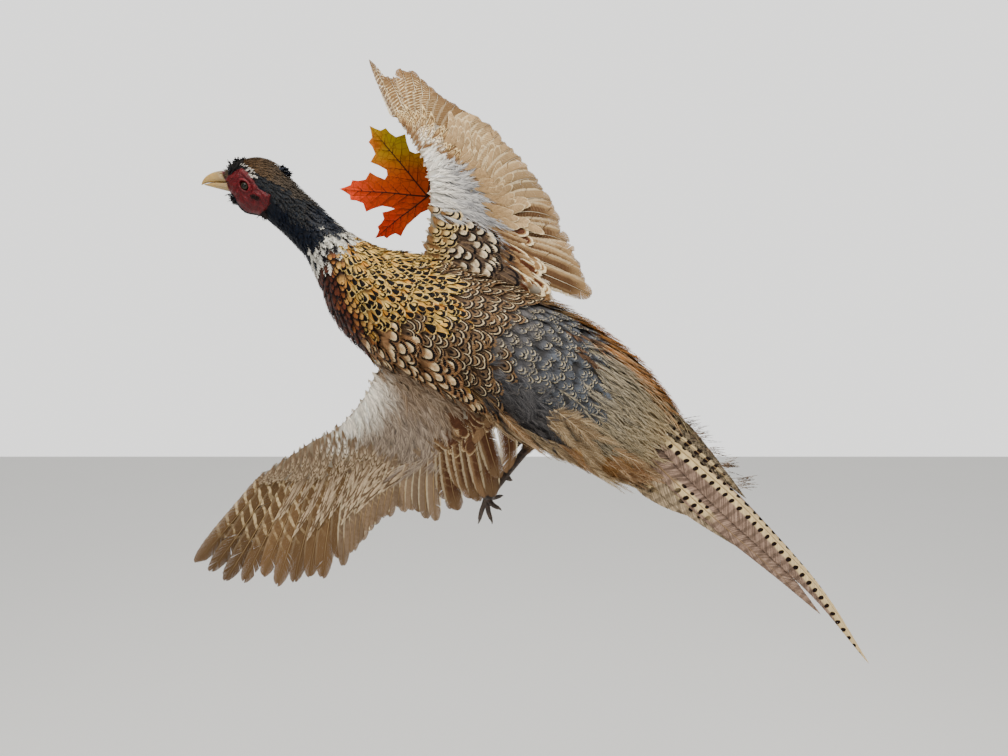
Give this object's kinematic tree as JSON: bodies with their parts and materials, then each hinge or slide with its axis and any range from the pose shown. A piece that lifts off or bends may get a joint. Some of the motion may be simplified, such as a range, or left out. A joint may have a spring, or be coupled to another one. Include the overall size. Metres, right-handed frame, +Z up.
{
  "type": "taxidermy pheasant",
  "caption": "Cock ring-necked pheasant mounted in flight with spread wings and long barred tail, on a small wall hanger, with a cloth maple leaf behind it.",
  "frame": {"origin": "middle of the hanging plate's back face, on the wall", "axes": "+Y into the wall, +Z up, +X to the right of someone facing the wall; the bird's back faces -Y and its bill points to -X"},
  "size_m": [0.6668, 0.2013, 0.6177],
  "materials": {
    "plumage": "overlapping body feathers, gold, chestnut, grey-green and black, matte to slightly glossy",
    "flight_feathers": "faded buff-brown wing quills barred paler, matte",
    "tail_feathers": "cream-buff tail feathers with black cross bars and brown hair-like edges, matte",
    "horn": "pale horn, worn smooth",
    "eye_glass": "dark polished glass eye",
    "leg_scales": "dry dark scaled leg skin",
    "leaf_cloth": "printed autumn-coloured cloth leaf, dark veins",
    "leaf_wire": "plastic-coated stem wire",
    "mount_board": "stained board with rounded edges",
    "rod_steel": "plain drawn steel rod"
  },
  "bodies": {
    "root": {"bill_lower": "horn", "bill_upper": "horn", "eye_left": "eye_glass", "eye_right": "eye_glass", "foot_left": "leg_scales", "foot_right": "leg_scales", "head": "plumage", "leaf": "leaf_cloth", "leaf_stem": "leaf_wire", "neck": "plumage", "rump": "plumage", "shank_left": "leg_scales", "shank_right": "leg_scales", "stand_rod": "rod_steel", "stand_wall_plate": "mount_board", "tail_centre_lower": "tail_feathers", "tail_centre_upper": "tail_feathers", "tail_left_inner": "tail_feathers", "tail_left_outer": "tail_feathers", "tail_right_inner": "tail_feathers", "tail_right_outer": "tail_feathers", "thigh_left": "plumage", "thigh_right": "plumage", "trunk": "plumage", "wing_left_arm": "plumage", "wing_left_primaries": "flight_feathers", "wing_left_secondaries": "flight_feathers", "wing_left_tertials": "flight_feathers", "wing_right_arm": "plumage", "wing_right_primaries": "flight_feathers", "wing_right_secondaries": "flight_feathers", "wing_right_tertials": "flight_feathers"}
  },
  "joints": []
}
